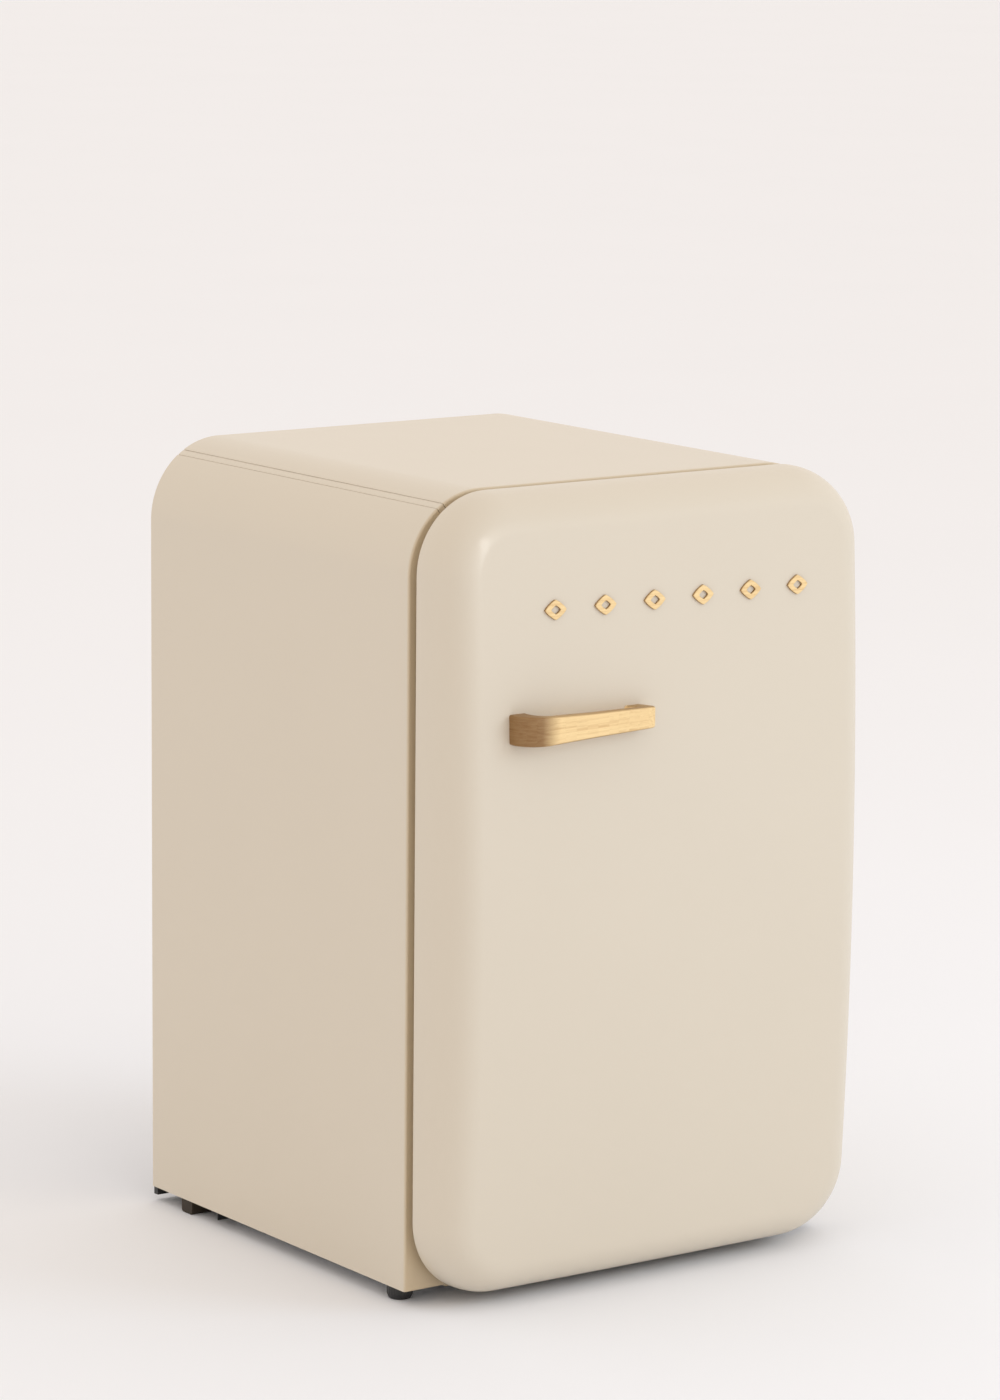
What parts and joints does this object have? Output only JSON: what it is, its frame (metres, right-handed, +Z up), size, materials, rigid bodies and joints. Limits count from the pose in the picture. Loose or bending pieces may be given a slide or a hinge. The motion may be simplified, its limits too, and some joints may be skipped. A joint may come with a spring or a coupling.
{
  "type": "mini fridge",
  "caption": "Retro under-counter mini fridge with a rounded cream steel cabinet, a crowned right-hung door, an oak bar handle, door bins, glass shelves, an ice box and a rear cooling unit.",
  "frame": {"origin": "centre of the overall box's underside, on the floor", "axes": "+X to the right as seen from the front, +Y to the back, +Z up"},
  "size_m": [0.55, 0.6419, 0.86],
  "materials": {
    "cream_paint": "satin",
    "zinc_steel": "satin",
    "hinge_steel": "satin",
    "black_metal": "satin",
    "copper": "satin",
    "foam": "matte",
    "white_plastic": "gloss",
    "clear_plastic": "gloss",
    "frosted_lens": "satin",
    "shelf_glass": "gloss",
    "shelf_trim": "gloss",
    "ice_aluminium": "satin",
    "oak": "satin",
    "dark_rubber": "matte",
    "black_plastic": "matte",
    "gasket_vinyl": "satin"
  },
  "bodies": {
    "cabinet": {"left_side_panel": "cream_paint", "right_side_panel": "cream_paint", "top_panel": "cream_paint", "front_rail": "cream_paint", "rear_panel": "zinc_steel", "inner_liner": "white_plastic", "cabinet_foam": "foam", "bottom_panel": "zinc_steel", "compressor_tray": "black_metal", "bay_shield": "zinc_steel", "rear_feet": "dark_rubber", "foot_inserts": "zinc_steel", "upper_hinge_bracket": "hinge_steel", "lower_hinge_bracket": "hinge_steel", "hinge_pins": "zinc_steel", "hinge_screws": "zinc_steel", "compressor": "black_metal", "compressor_grommets": "dark_rubber", "compressor_bolts": "zinc_steel", "terminal_cover": "black_plastic", "evaporation_pan": "black_plastic", "drain_tube": "white_plastic", "condenser_pipe": "black_metal", "condenser_wires": "black_metal", "condenser_brackets": "zinc_steel", "filter_drier": "copper", "return_pipe": "copper", "capillary_pipe": "copper", "suction_pipe": "copper", "discharge_pipe": "copper", "cord_gland": "dark_rubber", "upper_shelf_glass": "shelf_glass", "upper_shelf_trim": "shelf_trim", "lower_shelf_glass": "shelf_glass", "lower_shelf_trim": "shelf_trim", "ice_box": "ice_aluminium", "ice_box_frame": "white_plastic", "ice_box_hangers": "white_plastic", "thermostat_housing": "white_plastic", "lamp_lens": "frosted_lens", "switch_body": "white_plastic"},
    "door": {"door_skin": "cream_paint", "door_foam": "foam", "door_liner": "white_plastic", "door_gasket": "gasket_vinyl", "handle": "oak", "handle_screws": "zinc_steel", "badge_lozenges": "oak", "hinge_sockets": "white_plastic"},
    "lower_bin": {"lower_bin": "clear_plastic"},
    "middle_bin": {"middle_bin": "clear_plastic"},
    "upper_bin": {"upper_bin": "clear_plastic"},
    "drip_tray": {"drip_tray": "clear_plastic"},
    "ice_flap": {"ice_box_flap": "clear_plastic"},
    "knob": {"thermostat_knob": "white_plastic"},
    "plunger": {"switch_plunger": "white_plastic"},
    "left_foot": {"left_front_foot": "dark_rubber"},
    "right_foot": {"right_front_foot": "dark_rubber"}
  },
  "joints": [
    {"name": "door_hinge", "type": "hinge", "parent": "cabinet", "child": "door", "pos_m": [0.264, -0.242, 0.43], "axis": [0, 0, 1], "range_deg": [0, 120]},
    {"name": "lower_bin_lift", "type": "slide", "parent": "door", "child": "lower_bin", "axis": [0, 0, 1], "range_m": [0, 0.025]},
    {"name": "middle_bin_lift", "type": "slide", "parent": "door", "child": "middle_bin", "axis": [0, 0, 1], "range_m": [0, 0.025]},
    {"name": "upper_bin_lift", "type": "slide", "parent": "door", "child": "upper_bin", "axis": [0, 0, 1], "range_m": [0, 0.025]},
    {"name": "drip_tray_slide", "type": "slide", "parent": "cabinet", "child": "drip_tray", "axis": [0, -1, 0], "range_m": [0, 0.085]},
    {"name": "ice_flap_hinge", "type": "hinge", "parent": "cabinet", "child": "ice_flap", "pos_m": [-0.057, -0.0845, 0.697], "axis": [1, 0, 0], "range_deg": [0, 90]},
    {"name": "thermostat_turn", "type": "hinge", "parent": "cabinet", "child": "knob", "pos_m": [0.187, -0.038, 0.727], "axis": [-1, 0, 0], "range_deg": [0, 300]},
    {"name": "switch_press", "type": "slide", "parent": "cabinet", "child": "plunger", "axis": [0, 1, 0], "range_m": [0, 0.004], "stiffness_N_per_m": 150, "springref_m": -0.004},
    {"name": "left_foot_turn", "type": "hinge", "parent": "cabinet", "child": "left_foot", "pos_m": [-0.258, -0.171, 0.01], "axis": [0, 0, 1], "range_deg": [-360, 360]},
    {"name": "right_foot_turn", "type": "hinge", "parent": "cabinet", "child": "right_foot", "pos_m": [0.258, -0.171, 0.01], "axis": [0, 0, 1], "range_deg": [-360, 360]}
  ]
}
